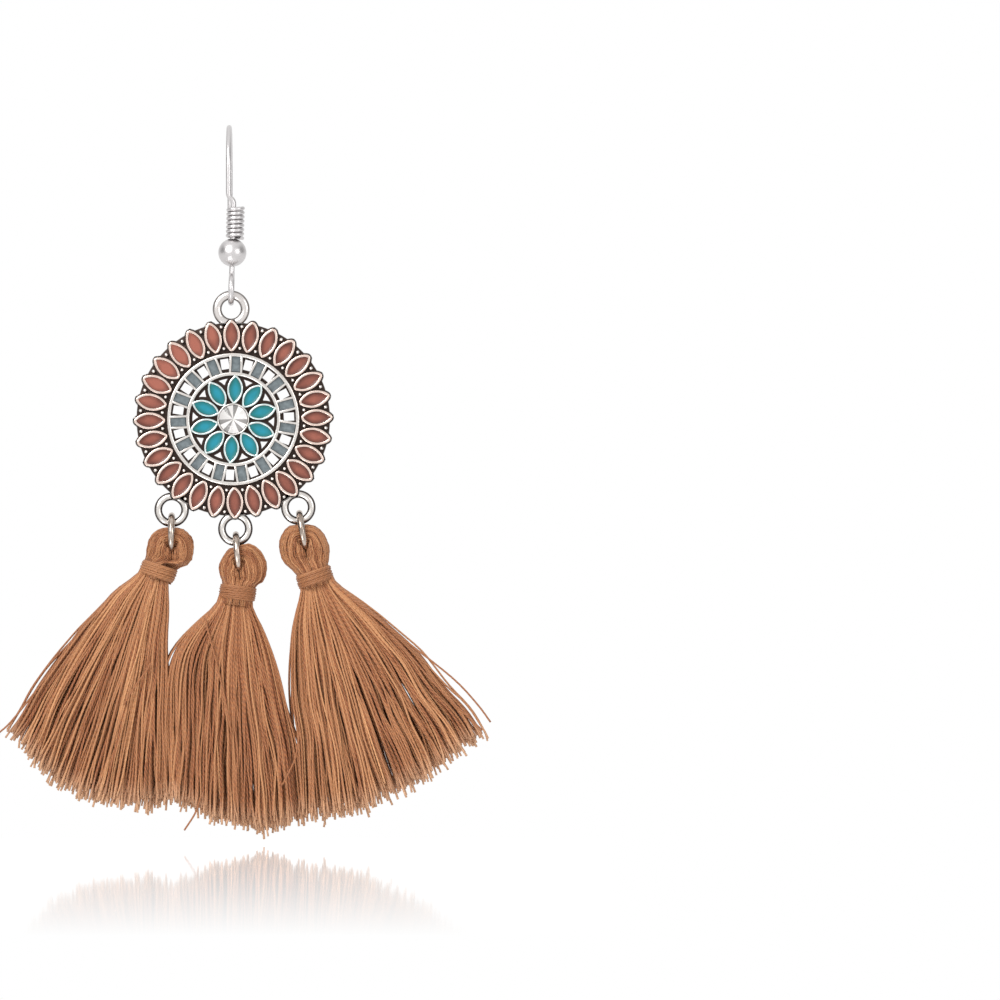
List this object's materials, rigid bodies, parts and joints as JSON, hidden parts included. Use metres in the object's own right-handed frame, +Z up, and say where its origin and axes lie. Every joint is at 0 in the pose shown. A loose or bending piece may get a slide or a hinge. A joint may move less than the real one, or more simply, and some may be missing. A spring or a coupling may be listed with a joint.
{
  "type": "tassel earring",
  "caption": "Drop earring: fish-hook ear wire with bead and coil, round enamelled medallion, cotton tassels on jump rings.",
  "frame": {"origin": "under the top of the hook's bend, where the wire rests in the ear; the earring hangs below it", "axes": "+Z up, -Y the front of the medallion, +X to the right as seen from the front"},
  "size_m": [0.051, 0.0119, 0.0781],
  "materials": {
    "hook_wire": "polished silver plate",
    "antique_casting": "antique silver plate, dark in the recesses",
    "terracotta_enamel": "glossy enamel",
    "slate_enamel": "glossy enamel",
    "teal_enamel": "glossy enamel",
    "stone": "clear cut glass, foiled back",
    "jump_ring_wire": "antique plate",
    "tassel_cotton": "twisted cotton thread",
    "binding_cotton": "twisted cotton thread"
  },
  "bodies": {
    "hook": {"ear_hook": "hook_wire", "hook_coil": "hook_wire", "hook_bead": "hook_wire"},
    "drop": {"medallion": "antique_casting", "outer_enamel": "terracotta_enamel", "band_enamel": "slate_enamel", "rosette_enamel": "teal_enamel", "crystal": "stone", "jump_ring_left": "jump_ring_wire", "jump_ring_middle": "jump_ring_wire", "jump_ring_right": "jump_ring_wire", "tassel_left": "tassel_cotton", "tassel_middle": "tassel_cotton", "tassel_right": "tassel_cotton", "binding_left": "binding_cotton", "binding_middle": "binding_cotton", "binding_right": "binding_cotton"}
  },
  "joints": [
    {"name": "drop_swing", "type": "hinge", "parent": "hook", "child": "drop", "pos_m": [0.00028, -0.00435, -0.01911], "axis": [0, 1, 0], "range_deg": [-75, 75]}
  ]
}
